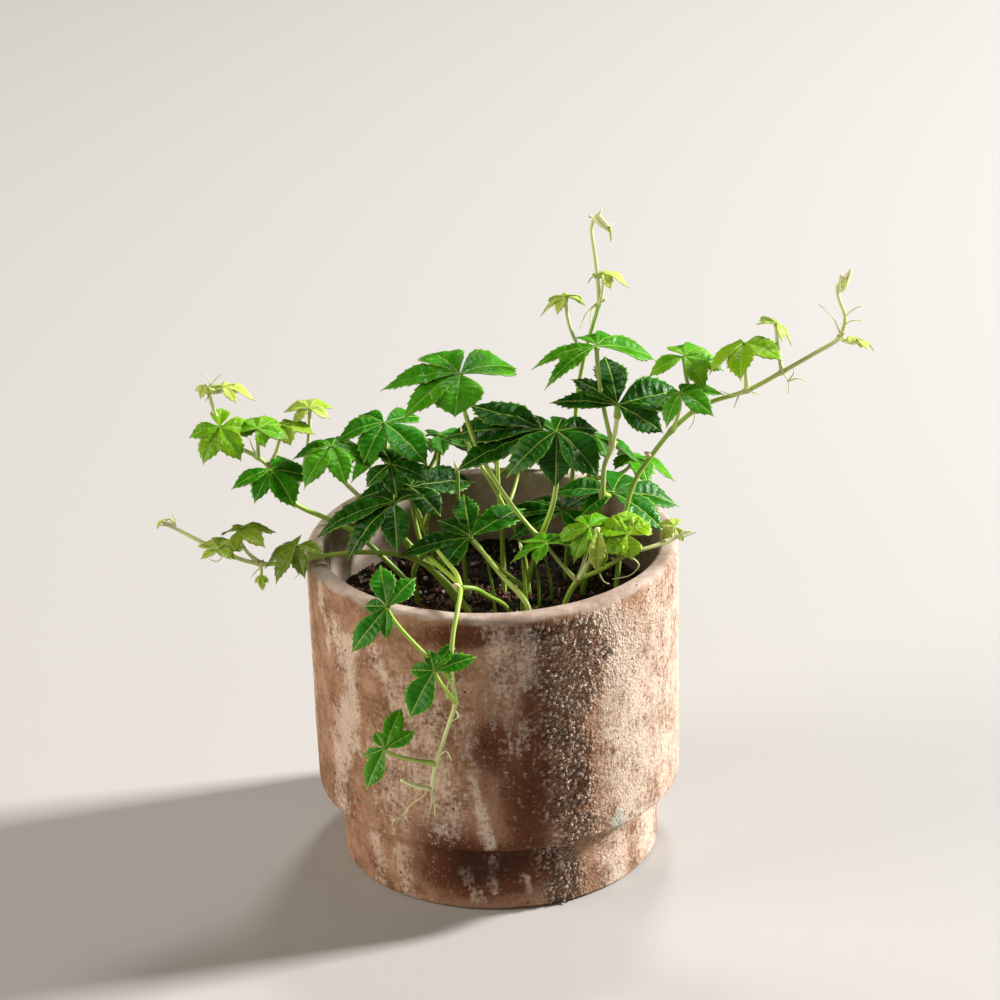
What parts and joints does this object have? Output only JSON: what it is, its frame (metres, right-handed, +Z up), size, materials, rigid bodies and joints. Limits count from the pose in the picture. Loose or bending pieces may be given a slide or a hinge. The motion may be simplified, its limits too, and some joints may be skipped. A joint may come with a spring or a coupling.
{
  "type": "potted thicket creeper",
  "caption": "Small-leaved trailing creeper with palmate toothed leaves, growing in soil in a round cast concrete pot with a recessed foot.",
  "frame": {"origin": "middle of the pot's flat base, on the surface that it stands on", "axes": "+Z up; -Y towards the side that the front shoot hangs down; +X towards the long right-hand shoot"},
  "size_m": [0.264, 0.1669, 0.248],
  "materials": {
    "concrete": "rough cast, matt",
    "potting_soil": "crumbly, matt",
    "foliage": "waxy, half gloss"
  },
  "bodies": {
    "root": {"pot": "concrete", "soil": "potting_soil", "shoot_upper_left": "foliage", "shoot_low_left": "foliage", "shoot_left_crown": "foliage", "shoot_centre": "foliage", "shoot_right_crown": "foliage", "shoot_top": "foliage", "shoot_right": "foliage", "shoot_hanging": "foliage", "shoot_low_right": "foliage", "shoot_back_left": "foliage", "shoot_back_middle": "foliage", "shoot_back_right": "foliage"}
  },
  "joints": []
}
